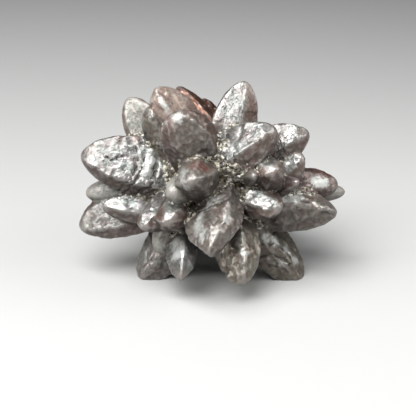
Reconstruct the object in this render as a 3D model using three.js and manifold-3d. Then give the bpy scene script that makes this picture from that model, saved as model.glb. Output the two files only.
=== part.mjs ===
// A prophecy stone: one radiating cluster of spear-shaped iron-oxide crystals, grown together as a single
// natural piece. Millimetres, +Z up, +X to the right and +Y to the back. The cluster stands on a few worn
// crystal tips, with its origin on the ground under the middle of its bounding box.
import * as THREE from "three";
import { mergeVertices } from "three/addons/utils/BufferGeometryUtils.js";
import Module from "manifold-3d";

const wasm = await Module();
wasm.setup();

// The ball of fused crystal bases at the middle of the cluster, in mm.
const CORE_CENTRE = new THREE.Vector3(0, 0, 17);
const CORE_RADII = new THREE.Vector3(10.5, 9.5, 9.5);
const CORE_LUMP = 0.9;

// How far along its length a crystal's rings lie, from 0 at its root to 1 at its tip.
const RING_PLACES = [0, 0.3, 0.52, 0.68, 0.82, 0.92, 0.975];
const STUB_RING_PLACES = [0, 0.45, 0.72, 0.88, 0.97];
const STUB_LENGTH = 11; // a crystal shorter than this has the stub's rings
const EDGE_BEVEL = 0.12; // share of each side of the section that its rounded edges take
const FACE_FLATNESS = 6; // how far the faces stay plane before they round off to the tip
const RIB_RISE = 0.014; // half the length of a growth step's riser, as a share of the crystal
const RIB_LENGTH = 0.07; // how far past a growth step its dip reaches, as a share of the crystal
const RIB_DEPTH = 0.1; // how much thinner a crystal is just past a growth step

// The habits that the crystals take. flat is the half-width of the broad face as a share of the crystal's,
// so that 0 is a ridge; rise is the share of the thickness in front of the widest edge; belly is where the
// crystal is widest; neck is its width at the root, as a share of the widest; slope is how much thinner it is
// where the tip rounds off; blunt is the power of its outline, from 0.5 for a half ellipse to 1 for a
// parabola; ribs are the places of its growth steps.
const BLADE = {
  flat: 0.62,
  rise: 0.5,
  belly: 0.42,
  neck: 0.85,
  slope: 0.45,
  blunt: 0.6,
  bevelled: true,
  ribs: [],
};
const BROAD = { ...BLADE, flat: 0.8 };
const RAKED = { ...BLADE, flat: 0.6, slope: 0.8 };
const RIBBED = { ...BLADE, ribs: [0.27, 0.36, 0.46, 0.55] };
const SHINGLED = { ...RIBBED, flat: 0.82 };
const KEEL = { ...BLADE, flat: 0.22, belly: 0.48, blunt: 0.85 };
const WEDGE = { ...BLADE, flat: 0.35 };
const SPEAR = { ...BLADE, flat: 0.12 };
const FOOT = { ...BLADE, flat: 0.2, blunt: 0.5 };
const STUB = { ...BLADE, flat: 0.5, belly: 0.55, neck: 0.9, blunt: 0.5, bevelled: false };
const KNOB = { ...STUB, belly: 0.45, slope: 0.65 };
const SPUR = { ...STUB, flat: 0.12 };
const SLAB = { ...STUB, flat: 0.53, rise: 0.6 };

// Each crystal: name, root and tip in mm, full width and thickness in mm, the way its broad face looks, its
// habit, and how far that face stands to one side, as a share of the half-width.
const CRYSTALS = [
  // left side, top to bottom
  ["northwest_blade", [-8.2, 1.2, 19.5], [-15.1, 3.6, 31.1], 8, 5.5, [0.2, -0.9, 0.3], BROAD, 0.12],
  ["northwest_inner", [-7.5, -2, 20.5], [-11.1, -2, 31], 6.4, 5.5, [0.1, -0.9, 0.2], SPUR, 0],
  ["west_blade", [-4, -1, 17.6], [-23, -3.6, 22.8], 11, 7, [0, -0.8, 0.55], SHINGLED, 0.06],
  ["west_bud", [-9, 1, 15], [-22.9, 0.7, 14.2], 5.8, 5.8, [0, -0.9, 0.3], STUB, 0],
  ["west_finger", [-7.5, -4, 11.7], [-19.4, -6.3, 14.4], 4.8, 4.5, [0, -0.7, 0.7], BROAD, 0.14],
  ["southwest_blade", [-5, -1, 16.2], [-24.1, -1.1, 8.4], 11.2, 6, [0, -0.75, 0.65], BLADE, -0.1],
  // front, top to bottom
  ["crown_blade", [-1, -5, 20], [-6.5, -10.8, 32.3], 10, 6, [0.15, -0.95, 0], SLAB, 0.17],
  ["centre_knob", [-1.9, -5, 19], [-3.6, -18.3, 23], 8.2, 7.8, [-0.3, -0.2, 0.9], KNOB, 0],
  ["centre_bud", [-3.4, -5, 17.5], [-6.9, -15.3, 19.8], 5.6, 5.4, [-0.5, 0.1, 0.8], STUB, 0],
  ["west_stub", [-7.4, -5.6, 14.4], [-12, -13.6, 13], 5.8, 5.8, [-0.2, -0.5, 0.8], KNOB, 0],
  ["west_stub_twin", [-5.6, -6, 14.3], [-7.9, -15.4, 14.6], 7, 7, [-0.2, -0.6, 0.8], KNOB, -0.2],
  ["front_blade", [0.8, -5, 17], [-0.6, -21.8, 11.6], 10.4, 7.5, [-0.2, -0.5, 0.8], KEEL, -0.25],
  ["south_finger", [-5.3, -6, 10], [-5.5, -15.5, 4.3], 6, 5.4, [-0.2, -0.85, 0.5], SPEAR, -0.25],
  ["south_blade", [2.9, -6, 13], [5.1, -16.9, 3.9], 8.8, 6.5, [-0.1, -0.9, 0.3], SPEAR, -0.3],
  ["southwest_inner", [-6.5, -4, 12], [-9.5, -8.1, 6.2], 5.4, 5, [-0.2, -0.9, 0.2], STUB, 0],
  ["southwest_foot", [-4.4, -2, 11], [-12.8, -4.8, -1], 8.6, 6, [-0.3, -0.9, 0.3], FOOT, 0],
  ["southeast_foot", [5, -2, 12], [15.8, -4.8, -1], 9, 6, [0.2, -0.9, 0.3], FOOT, 0],
  // right side, top to bottom
  ["north_blade", [-2.7, -0.5, 23.6], [-10, -1.8, 34.2], 8.4, 6.4, [-0.05, -0.78, 0.62], SPEAR, -0.35],
  ["northeast_blade", [2, -4, 22], [5.6, -1.2, 35.3], 8, 5.5, [-0.1, -0.9, 0.3], RAKED, -0.3],
  ["east_upper_blade", [0.5, -6, 21], [10.4, -9.5, 29.2], 9, 7, [-0.2, -0.6, 0.7], RIBBED, -0.06],
  ["east_top_blade", [5, -1, 20.4], [16.7, -1.8, 26.2], 8.2, 6, [0, -0.8, 0.6], RIBBED, -0.25],
  ["east_inner_stub", [8.3, -5, 19.3], [10.3, -13.5, 23.1], 6.2, 6, [0, -0.6, 0.8], KNOB, 0],
  ["east_inner_bud", [5.3, -5, 18.6], [6.8, -13.5, 22.2], 3, 3, [0, -0.3, 0.9], STUB, 0],
  ["east_short", [4.3, -5, 15.8], [11.4, -12.6, 16], 6.6, 6.4, [-0.1, -0.75, 0.6], KNOB, 0.1],
  ["east_bud_top", [9.5, -1.5, 15.5], [15.6, -4.2, 22.9], 6.6, 5.4, [-0.4, -0.75, 0.45], KNOB, 0],
  ["east_bud_front", [9, -3, 16], [14.5, -9.8, 19.9], 3.8, 3.8, [0, -0.6, 0.8], KNOB, 0],
  ["east_knob", [9, 0, 16], [22.3, -0.4, 16.2], 7, 6.8, [0.1, -0.85, 0.4], KNOB, -0.1],
  ["east_knob_tip", [9, 2, 14], [24.1, 3.6, 13.4], 4.6, 4.6, [0.3, -0.8, 0.2], STUB, 0],
  ["east_blade", [5, -2.5, 13], [21.8, -5, 12.5], 8.6, 6.4, [0, -0.75, 0.3], SPEAR, -0.2],
  // back, top to bottom
  ["rust_tip_west", [0, 2, 25], [-6.5, 7.2, 32.1], 5, 4.5, [0.2, -0.8, 0.4], WEDGE, 0],
  ["rust_tip_east", [0, 2, 23], [-1.8, 9, 29.4], 6, 5, [0.1, -0.8, 0.5], WEDGE, 0],
  ["back_top", [1, 3, 22], [4.5, 10, 29.5], 7, 5.5, [0, 0.8, 0.4], BLADE, 0],
  ["back_top_bud_west", [-2, 5, 22], [-6.5, 13.5, 27.5], 5.4, 5, [0, 0.6, 0.8], STUB, 0],
  ["back_top_bud_east", [3, 6, 20], [5.5, 15.5, 24.5], 5.6, 5.2, [0.3, 0.4, 0.8], STUB, 0],
  ["back_upper_west", [-2, 2, 20], [-12, 14, 24], 9.4, 6.5, [-0.4, 0.6, 0.6], WEDGE, 0],
  ["back_upper_east", [3, 2, 20], [13, 13, 22], 9, 6, [0.3, 0.6, 0.7], RAKED, 0],
  ["back_west", [-3, 1, 17], [-18, 11, 17.5], 9, 6, [-0.3, 0.7, 0.6], WEDGE, 0.2],
  ["back_bud_west", [-4, 6, 16], [-10, 16.5, 14.5], 4.8, 4.4, [0, 0.5, 0.8], STUB, 0],
  ["back_centre", [0, 2, 18], [-2, 21.8, 20.5], 9.4, 7, [0.2, 0.2, 0.9], RIBBED, 0],
  ["back_bud_east", [5, 6, 17], [14, 15.5, 17.5], 4.8, 4.6, [0, 0.4, 0.9], STUB, 0],
  ["back_centre_east", [1, 2, 16], [8.5, 19.5, 14.5], 8.4, 6.5, [0, 0.3, 0.9], SPEAR, 0.2],
  ["back_east", [3, 1, 16], [17.5, 11, 14.5], 8.4, 6, [0.4, 0.6, 0.7], SPEAR, -0.3],
  ["back_low_west", [-3, 1, 14], [-15.5, 13, 9], 8.6, 6.4, [-0.4, 0.5, 0.7], RIBBED, 0],
  ["back_low_bud_west", [-5, 4, 12], [-14.5, 8, 6], 4.4, 4.4, [-0.4, 0.7, 0.5], STUB, 0],
  ["back_low", [-1, 2, 14], [-3, 19.5, 8.5], 8.6, 6.5, [0, 0.5, 0.8], WEDGE, 0],
  ["back_low_bud", [1, 5, 11], [3.5, 15.5, 4], 5, 4.6, [0, 0.7, 0.6], STUB, 0],
  ["back_low_east", [3, 1, 13], [16, 12, 7.5], 8.6, 6.2, [0.4, 0.5, 0.7], BLADE, 0],
  ["back_low_bud_east", [6, 3, 12], [17.5, 6, 8], 4.4, 4.4, [0.5, 0.6, 0.6], STUB, 0],
  ["back_foot_west", [-2, 1, 11], [-8.5, 12, -0.8], 7.6, 6.2, [0, 0.7, 0.5], WEDGE, 0],
  ["back_foot_east", [2, 1, 11], [9, 11, -0.8], 7.6, 6.2, [0.2, 0.7, 0.5], WEDGE, 0],
  ["under_tip", [0, 0, 12], [1.5, 1.5, 2], 6, 5.5, [0, -0.9, 0.1], SPEAR, 0],
];

// A closed three.js geometry as a manifold-3d solid.
function solidOf(geometry) {
  const bare = geometry.clone();
  bare.deleteAttribute("normal");
  bare.deleteAttribute("uv");
  const merged = mergeVertices(bare, 1e-4);
  return new wasm.Manifold(
    new wasm.Mesh({
      numProp: 3,
      vertProperties: merged.attributes.position.array,
      triVerts: new Uint32Array(merged.index.array),
    }),
  );
}

// The corners of a crystal's six-sided section, in shares of its half-width and of its thickness. Where the
// edges are bevelled, each corner is two points.
function section({ flat, rise, bevelled }, shift) {
  const corners = [
    [1, 0],
    [flat, rise - 1],
    [-flat, rise - 1],
    [-1, 0],
    [shift - flat, rise],
    [shift + flat, rise],
  ].map(([u, v]) => new THREE.Vector2(u, v));
  if (!bevelled) return corners;
  const points = [];
  corners.forEach((corner, i) => {
    const before = corners[(i + corners.length - 1) % corners.length];
    const after = corners[(i + 1) % corners.length];
    points.push(corner.clone().lerp(before, EDGE_BEVEL), corner.clone().lerp(after, EDGE_BEVEL));
  });
  return points;
}

// The shares of its full width and of its full thickness that a crystal has at a place along it.
function fullness({ belly, neck, slope, blunt, ribs }, place) {
  const rising = Math.sin((Math.min(place / belly, 1) * Math.PI) / 2);
  const falling = Math.max(0, (place - belly) / (1 - belly));
  const dips = ribs.map((rib) => (place > rib ? Math.max(0, 1 - (place - rib) / RIB_LENGTH) : 0));
  const worn = 1 - RIB_DEPTH * Math.max(0, ...dips);
  return {
    width: (neck + (1 - neck) * rising) * (1 - falling ** 2) ** blunt,
    thickness: (1 - slope * falling) * Math.sqrt(1 - falling ** FACE_FLATNESS) * worn,
  };
}

// One crystal: a lathe body whose round section is pressed into the six-sided one.
function crystal(root, tip, wide, thick, facing, habit, shift) {
  const start = new THREE.Vector3(...root);
  const along = new THREE.Vector3(...tip).sub(start);
  const length = along.length();
  along.normalize();
  const across = new THREE.Vector3().crossVectors(along, new THREE.Vector3(...facing)).normalize();
  const outward = new THREE.Vector3().crossVectors(across, along);

  const risers = habit.ribs.flatMap((rib) => [rib - RIB_RISE, rib + RIB_RISE]);
  const rings = length < STUB_LENGTH ? STUB_RING_PLACES : RING_PLACES;
  const places = [...rings, ...risers].sort((a, b) => a - b);
  const profile = [0, ...places, 1].map((place) => new THREE.Vector2(1, place));
  profile[0].x = 0;
  profile[profile.length - 1].x = 0;

  const corners = section(habit, shift);
  const geometry = new THREE.LatheGeometry(profile, corners.length);
  const position = geometry.attributes.position;
  for (let i = 0; i < position.count; i++) {
    const reach = profile[i % profile.length].x;
    const corner = corners[Math.floor(i / profile.length) % corners.length];
    const share = fullness(habit, position.getY(i));
    const point = start.clone().addScaledVector(along, length * position.getY(i));
    point.addScaledVector(across, (reach * share.width * corner.x * wide) / 2);
    point.addScaledVector(outward, reach * share.thickness * corner.y * thick);
    position.setXYZ(i, point.x, point.y, point.z);
  }
  return solidOf(geometry);
}

// The lumpy ball of crystal bases that all the crystals grow from.
function core() {
  const ball = new THREE.IcosahedronGeometry(1, 3);
  const position = ball.attributes.position;
  const point = new THREE.Vector3();
  for (let i = 0; i < position.count; i++) {
    point.fromBufferAttribute(position, i);
    const lump = Math.sin(7 * point.x + 1) * Math.sin(6 * point.y + 2) * Math.sin(7 * point.z);
    const swell = 1 + (CORE_LUMP / CORE_RADII.x) * lump;
    point.multiply(CORE_RADII).multiplyScalar(swell).add(CORE_CENTRE);
    position.setXYZ(i, point.x, point.y, point.z);
  }
  return solidOf(ball);
}

// Everything below the ground, which wears the tips that the cluster stands on flat.
function ground() {
  const slab = new THREE.BoxGeometry(100, 100, 20).translate(0, 0, -10);
  return solidOf(slab);
}

function cluster() {
  let joined = core();
  for (const [, ...measures] of CRYSTALS) {
    joined = joined.add(crystal(...measures));
  }
  return joined.subtract(ground());
}

// A manifold-3d solid as a three.js geometry.
function geometryOf(solid) {
  const mesh = solid.getMesh();
  const geometry = new THREE.BufferGeometry();
  geometry.setAttribute("position", new THREE.BufferAttribute(mesh.vertProperties, 3));
  geometry.setIndex(new THREE.BufferAttribute(mesh.triVerts, 1));
  return geometry;
}

const ironOxide = new THREE.MeshStandardMaterial({ color: 0x6f655f, roughness: 0.35, metalness: 0.75 });
const stone = new THREE.Mesh(geometryOf(cluster()), ironOxide);
stone.name = "crystal_cluster";

const part = new THREE.Group();
part.add(stone);

export default part;
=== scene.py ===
"""A prophecy stone: spear-shaped iron-oxide crystals that radiate from one core, fused into a single stone.

Shapes are worked out in millimetres and turned into metres when a piece is finished.
"""

import math
from itertools import product

import bmesh
import bpy
import numpy as np
from mathutils import Matrix, Vector
from mathutils.kdtree import KDTree


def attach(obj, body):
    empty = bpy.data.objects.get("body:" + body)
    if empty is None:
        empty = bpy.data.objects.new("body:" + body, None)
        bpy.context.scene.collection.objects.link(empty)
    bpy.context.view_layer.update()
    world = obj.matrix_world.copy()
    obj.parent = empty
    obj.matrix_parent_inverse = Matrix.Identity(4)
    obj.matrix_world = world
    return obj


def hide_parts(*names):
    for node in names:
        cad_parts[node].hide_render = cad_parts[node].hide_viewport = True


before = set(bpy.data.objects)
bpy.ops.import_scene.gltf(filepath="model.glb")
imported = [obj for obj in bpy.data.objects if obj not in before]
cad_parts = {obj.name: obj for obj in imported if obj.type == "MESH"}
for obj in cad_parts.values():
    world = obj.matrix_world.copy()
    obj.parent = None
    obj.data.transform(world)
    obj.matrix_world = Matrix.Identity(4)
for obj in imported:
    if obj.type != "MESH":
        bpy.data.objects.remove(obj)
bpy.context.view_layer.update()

MM = 0.001  # one millimetre in metres

# ---- the stone's shape, in millimetres

CORE_CENTRE = Vector((0, 0, 17))
CORE_RADII = Vector((10.5, 9.5, 9.5))
CORE_LUMP = 0.9
CORE_WAVES = ((7, 1), (6, 2), (7, 0))  # how tightly the lumps follow each axis, and their shifts

# Habits. flat: half-width of the broad face as a share of the crystal's. rise: share of the thickness in
# front of the widest edge. belly: where the crystal is widest. neck: its width at the root. slope: how much
# thinner it is at the tip. blunt: the power of its outline. ribs: places of its cross-ribs. bow: how far
# their ends bend back to the root or, below 0, on to the tip. worn: how many times its edges are smoothed.
# relief: strength of its fine relief.
BLADE = dict(
    flat=0.62, rise=0.5, belly=0.42, neck=0.85, slope=0.45, blunt=0.6, ribs=(), bow=0.2, worn=1, relief=1
)
BROAD = {**BLADE, "flat": 0.8, "relief": 0.85}
RAKED = {**BLADE, "flat": 0.6, "slope": 0.8, "relief": 0.45}
RIBBED = {**BLADE, "ribs": (0.24, 0.33, 0.42)}
SHINGLED = {**BLADE, "flat": 0.82, "ribs": (0.23, 0.31, 0.38, 0.46, 0.54), "bow": -0.14, "relief": 0.85}
KEEL = {**BLADE, "flat": 0.3, "belly": 0.48, "blunt": 0.85, "ribs": (0.3, 0.52), "relief": 1.3}
BANDED = {**BLADE, "ribs": (0.54, 0.65), "relief": 0.8}
WEDGE = {**BLADE, "flat": 0.35}
SPEAR = {**BLADE, "flat": 0.12}
FOOT = {**BLADE, "flat": 0.2, "blunt": 0.5}
STUB = {**BLADE, "flat": 0.5, "belly": 0.55, "neck": 0.9, "blunt": 0.5, "worn": 6}
BUD = {**STUB, "flat": 0.38, "worn": 25, "relief": 0.45}
KNOB = {**STUB, "flat": 0.5, "belly": 0.45, "slope": 0.65, "worn": 3}
BOSS = {**KNOB, "flat": 0.38, "worn": 6, "relief": 0.8}
ROUGH = {**KNOB, "worn": 2, "relief": 1.3}
SPUR = {**STUB, "flat": 0.12, "worn": 40, "relief": 0.6}
SLAB = {**STUB, "flat": 0.53, "rise": 0.6, "worn": 2, "relief": 1.25}
FACE_FLATNESS = 6  # the power that keeps a crystal's thickness nearly even up to its tip
LEAST_FACE = 0.4  # a habit's flat below which it has no broad face
FULL_RELIEF = 7.5  # the width from which a crystal has its whole relief
SEED_STEP = 100  # how far apart the seeds of two crystals are
TIP_PLACE = 0.998  # how near the outline's end the last ring of a crystal is

# Each crystal: name, root, tip, full width, thickness, the way its broad face looks, habit, the shift of
# that face to one side, and its tint.
CRYSTALS = [
    ("northwest_blade", (-8.2, 1.2, 19.5), (-15.1, 3.6, 31.1), 8, 5.5, (0.2, -0.9, 0.3),
        BROAD, -0.06, "pale"),
    ("northwest_inner", (-7.5, -2, 20.5), (-11.1, -2, 31), 6.4, 5.5, (0.1, -0.9, 0.2), SPUR, 0, "moss"),
    ("west_blade", (-4, -1, 17.6), (-23, -3.6, 22.8), 11, 7, (0, -0.8, 0.55), SHINGLED, 0.06, "silver"),
    ("west_bud", (-9, 1, 15), (-22.9, 0.7, 14.2), 5.8, 5.8, (0, -0.9, 0.3), BUD, 0, "pale"),
    ("west_finger", (-7.5, -4, 11.7), (-19.4, -6.3, 14.4), 4.8, 4.5, (0, -0.7, 0.7), BROAD, 0.14, "silver"),
    ("southwest_blade", (-5, -1, 16.2), (-24.1, -1.1, 8.4), 11.2, 6, (0, -0.75, 0.65), BLADE, -0.1, "ash"),
    ("crown_blade", (-1, -5, 20), (-6.5, -10.8, 32.3), 10, 6, (0.15, -0.95, 0), SLAB, 0.12, "pewter"),
    ("centre_knob", (-1.9, -5, 19), (-3.6, -18.3, 23), 8.2, 7.8, (-0.3, -0.2, 0.9), BOSS, 0, "pewter"),
    ("centre_bud", (-3.4, -5, 17.5), (-6.9, -15.3, 19.8), 5.6, 5.4, (-0.5, 0.1, 0.8), BUD, 0, "pale"),
    ("west_stub", (-7.4, -5.6, 14.4), (-12, -13.6, 13), 5.8, 5.8, (-0.2, -0.5, 0.8), KNOB, 0, "silver"),
    ("west_stub_twin", (-5.6, -6, 14.3), (-7.9, -15.4, 14.6), 7, 7, (-0.2, -0.6, 0.8),
        KNOB, -0.2, "silver"),
    ("front_blade", (0.8, -5, 17), (-0.6, -21.8, 11.6), 10.4, 7.5, (-0.2, -0.5, 0.8),
        KEEL, -0.34, "pewter"),
    ("south_finger", (-5.3, -6, 10), (-5.5, -15.5, 4.3), 6, 5.4, (-0.2, -0.85, 0.5),
        SPEAR, -0.25, "silver"),
    ("south_blade", (2.9, -6, 13), (5.1, -16.9, 3.9), 8.8, 6.5, (-0.1, -0.9, 0.3), SPEAR, -0.3, "moss"),
    ("southwest_inner", (-6.5, -4, 12), (-9.5, -8.1, 6.2), 5.4, 5, (-0.2, -0.9, 0.2), BUD, 0, "pale"),
    ("southwest_foot", (-4.4, -2, 11), (-12.8, -4.8, -1), 8.6, 6, (-0.3, -0.9, 0.3), FOOT, 0, "ash"),
    ("southeast_foot", (5, -2, 12), (15.8, -4.8, -1), 9, 6, (0.3, -0.8, 0.45), FOOT, 0.15, "moss"),
    ("north_blade", (-2.7, -0.5, 23.6), (-10, -1.8, 34.2), 8.4, 6.4, (-0.05, -0.78, 0.62),
        SPEAR, -0.35, "tan"),
    ("northeast_blade", (2, -4, 22), (5.6, -1.2, 35.3), 8, 5.5, (-0.1, -0.9, 0.3), RAKED, -0.3, "silver"),
    ("east_upper_blade", (0.5, -6, 21), (10.4, -9.5, 29.2), 9, 7, (-0.2, -0.6, 0.7),
        RIBBED, -0.06, "silver"),
    ("east_top_blade", (5, -1, 20.4), (16.7, -1.8, 26.2), 8.2, 6, (0, -0.8, 0.6), BANDED, -0.25, "silver"),
    ("east_inner_stub", (8.3, -5, 19.3), (10.3, -13.5, 23.1), 6.2, 6, (0, -0.6, 0.8), KNOB, 0, "silver"),
    ("east_inner_bud", (5.3, -5, 18.6), (6.8, -13.5, 22.2), 3, 3, (0, -0.3, 0.9), BUD, 0, "pewter"),
    ("east_short", (4.3, -5, 15.8), (11.4, -12.6, 16), 6.6, 6.4, (-0.1, -0.75, 0.6), ROUGH, 0.1, "silver"),
    ("east_bud_top", (9.5, -1.5, 15.5), (15.6, -4.2, 22.9), 6.6, 5.4, (-0.4, -0.75, 0.45),
        KNOB, 0, "silver"),
    ("east_bud_front", (9, -3, 16), (14.5, -9.8, 19.9), 3.8, 3.8, (0, -0.6, 0.8), KNOB, 0, "plum"),
    ("east_knob", (9, 0, 16), (22.3, -0.4, 16.2), 7, 6.8, (0.05, -0.8, 0.55),
        {**KNOB, "worn": 6}, 0, "plum"),
    ("east_knob_tip", (9, 2, 14), (24.1, 3.6, 13.4), 4.6, 4.6, (0.3, -0.8, 0.2), BUD, 0, "pale"),
    ("east_blade", (5, -2.5, 13), (21.8, -5, 12.5), 8.6, 6.4, (0, -0.75, 0.3), SPEAR, -0.2, "pewter"),
    ("rust_tip_west", (0, 2, 25), (-6.5, 7.2, 32.1), 5, 4.5, (0.2, -0.8, 0.4), WEDGE, 0, "rust"),
    ("rust_tip_east", (0, 2, 23), (-1.8, 9, 29.4), 6, 5, (0.1, -0.8, 0.5), WEDGE, 0, "rust"),
    ("back_top", (1, 3, 22), (4.5, 10, 29.5), 7, 5.5, (0, 0.8, 0.4), BLADE, 0, "silver"),
    ("back_top_bud_west", (-2, 5, 22), (-6.5, 13.5, 27.5), 5.4, 5, (0, 0.6, 0.8), STUB, 0, "plum"),
    ("back_top_bud_east", (3, 6, 20), (5.5, 15.5, 24.5), 5.6, 5.2, (0.3, 0.4, 0.8), STUB, 0, "pewter"),
    ("back_upper_west", (-2, 2, 20), (-12, 14, 24), 9.4, 6.5, (-0.4, 0.6, 0.6), WEDGE, 0, "pewter"),
    ("back_upper_east", (3, 2, 20), (13, 13, 22), 9, 6, (0.3, 0.6, 0.7), RAKED, 0, "plum"),
    ("back_west", (-3, 1, 17), (-18, 11, 17.5), 9, 6, (-0.3, 0.7, 0.6), WEDGE, 0.2, "silver"),
    ("back_bud_west", (-4, 6, 16), (-10, 16.5, 14.5), 4.8, 4.4, (0, 0.5, 0.8), STUB, 0, "moss"),
    ("back_centre", (0, 2, 18), (-2, 21.8, 20.5), 9.4, 7, (0.2, 0.2, 0.9), RIBBED, 0, "pewter"),
    ("back_bud_east", (5, 6, 17), (14, 15.5, 17.5), 4.8, 4.6, (0, 0.4, 0.9), STUB, 0, "silver"),
    ("back_centre_east", (1, 2, 16), (8.5, 19.5, 14.5), 8.4, 6.5, (0, 0.3, 0.9), SPEAR, 0.2, "silver"),
    ("back_east", (3, 1, 16), (17.5, 11, 14.5), 8.4, 6, (0.4, 0.6, 0.7), SPEAR, -0.3, "moss"),
    ("back_low_west", (-3, 1, 14), (-15.5, 13, 9), 8.6, 6.4, (-0.4, 0.5, 0.7), RIBBED, 0, "plum"),
    ("back_low_bud_west", (-5, 4, 12), (-14.5, 8, 6), 4.4, 4.4, (-0.4, 0.7, 0.5), STUB, 0, "pewter"),
    ("back_low", (-1, 2, 14), (-3, 19.5, 8.5), 8.6, 6.5, (0, 0.5, 0.8), WEDGE, 0, "moss"),
    ("back_low_bud", (1, 5, 11), (3.5, 15.5, 4), 5, 4.6, (0, 0.7, 0.6), STUB, 0, "silver"),
    ("back_low_east", (3, 1, 13), (16, 12, 7.5), 8.6, 6.2, (0.4, 0.5, 0.7), BLADE, 0, "plum"),
    ("back_low_bud_east", (6, 3, 12), (17.5, 6, 8), 4.4, 4.4, (0.5, 0.6, 0.6), STUB, 0, "pewter"),
    ("back_foot_west", (-2, 1, 11), (-8.5, 12, -0.8), 7.6, 6.2, (0, 0.7, 0.5), WEDGE, 0, "moss"),
    ("back_foot_east", (2, 1, 11), (9, 11, -0.8), 7.6, 6.2, (0.2, 0.7, 0.5), WEDGE, 0, "pewter"),
    ("under_tip", (0, 0, 12), (1.5, 1.5, 2), 6, 5.5, (0, -0.9, 0.1), SPEAR, 0, "moss"),
]

# Grain of the build: how finely a crystal is divided before the stone is fused, and how finely it is fused.
SECTION_CORNERS = 6
SIDES_PER_FACE = 12
RINGS = 70
CORE_SUBDIVISIONS = 5
FUSE = 0.21  # voxel of the fused stone
MOST_TRIANGLES = 192000

# ---- the skin's relief, in millimetres

SWELLS = (0.07, (5.5, 3, 3))  # depth, and size along, across and outward
# Plates that overlap like shingles: how far their edges wander, size, greatest lift, tilt, and seed.
PLATE_LAYERS = (
    (0.5, (3.4, 1.8, 2.4), 0.08, 0.18, 11),
    (0.3, (1.6, 0.9, 1.2), 0.05, 0.24, 16),
)
PLATE_WANDER = (1.6, 71)  # size and seed of the noise that makes their edges wander
PLATE_BEVEL = 0.3  # how wide the bevel round a plate is
# Creases, most of them along the crystal: depth, size and seed.
CREASE_LAYERS = (
    (0.08, (4.5, 1.5, 1.8), 31),
    (0.07, (1.3, 0.9, 0.9), 36),
)
CREASE_WIDTH = 0.16  # in the values of the noise that the creases follow
RIB_DEPTH = 0.24
RIB_DROP = 0.2  # how long the steep drop into a cross-rib's dip is
RIB_RISE = 0.5  # and the gentle rise out of it
RIB_SHIFT = 0.5  # how far a rib is from its even place, at most
RIB_SHIFT_STEP = 2.7  # what makes each rib's shift its own
RIB_SWAYS = ((0.6, 2.2, 41), (0.3, 0.8, 42))  # how far a rib wanders, over what size, and seed
RIB_BREAK = (1.9, -0.25, 43)  # size and level of the noise that breaks the ribs, and seed
DENTS = (0.06, 0.8, 51)  # depth, size and seed
PIT_DEPTH = 0.13
PIT_SPACING = 1.5
PIT_SEED = 61
PIT_RADII = (0.1, 0.36)  # flat bottom, rim
PITTED = 0.85  # the share of the cells that has no pit
TIP_CALM = 0.65  # how much weaker the relief is at the very tip
TIP_CALM_SPAN = (0.9, 1.0)  # where along the crystal it weakens
GROOVE_DEPTH = 0.09
GROOVE_RADII = (0.03, 0.4)  # flat bottom, rim
GROOVE_SWAY = (0.3, 1.3, 91)  # how far a groove wanders, over what size, and seed
FAR = 9.0  # the distance written where no rib or groove is near
# Grooves that wind over a face, as lines through these places.
GROOVES = [
    [(-18.4, -5.2, 22.7), (-17.2, -5.2, 22.5), (-15.8, -4.8, 22.9), (-13.9, -5, 22.2)],
    [(8.8, -6.4, 7.2), (11.1, -5.9, 6.8), (13.1, -5.4, 5.1), (14.2, -5.4, 3.5)],
    [(8.5, -6, 4.4), (10.6, -6.5, 5.2), (12.4, -6.2, 4.3), (13.7, -6.1, 2.9)],
    [(9.8, -6.2, 2.9), (11.9, -6.5, 2.7), (13.3, -6.4, 1.8)],
]

CRUST_REACH = 70  # how many rounds of averaging find the hollows that crust fills
CRUST_GRAIN = 0.8  # how far apart the grains are
GRAIN_SEED = 9
CRUST_RISE = (0.1, 0.42, 0.12)  # of the bed, of a grain, and of the lumps in between
CRUST_LUMPS = (0.5, 13)  # size and seed
GRAIN_RADIUS = 0.45
LEAST_GRAIN = 0.3  # the smallest grain as a share of the largest
CRUST_SWELLS = (0.2, 1.7, 5)  # how much noise spreads the crust, its size and seed
CRUST_CORE = (0.16, 1.1, 1.75)  # how much nearness to the core spreads it, and the span of that nearness
CRUST_EDGE = (0.18, 0.42)  # the depths between which the crust begins

# ---- the skin's colours

# Each tint's colour, and how metallic it looks.
TINTS = {
    "silver": ((0.196, 0.194, 0.19), 0.75),
    "ash": ((0.19, 0.18, 0.17), 0.6),
    "pewter": ((0.16, 0.138, 0.124), 0.6),
    "plum": ((0.152, 0.118, 0.107), 0.65),
    "moss": ((0.155, 0.134, 0.11), 0.6),
    "tan": ((0.26, 0.195, 0.165), 0.4),
    "pale": ((0.245, 0.238, 0.213), 0.25),
    "rust": ((0.135, 0.056, 0.032), 0.75),
}

# In the lists below, a spot is its middle and radius in mm, and its strength. Below 0, a spot takes away.

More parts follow.
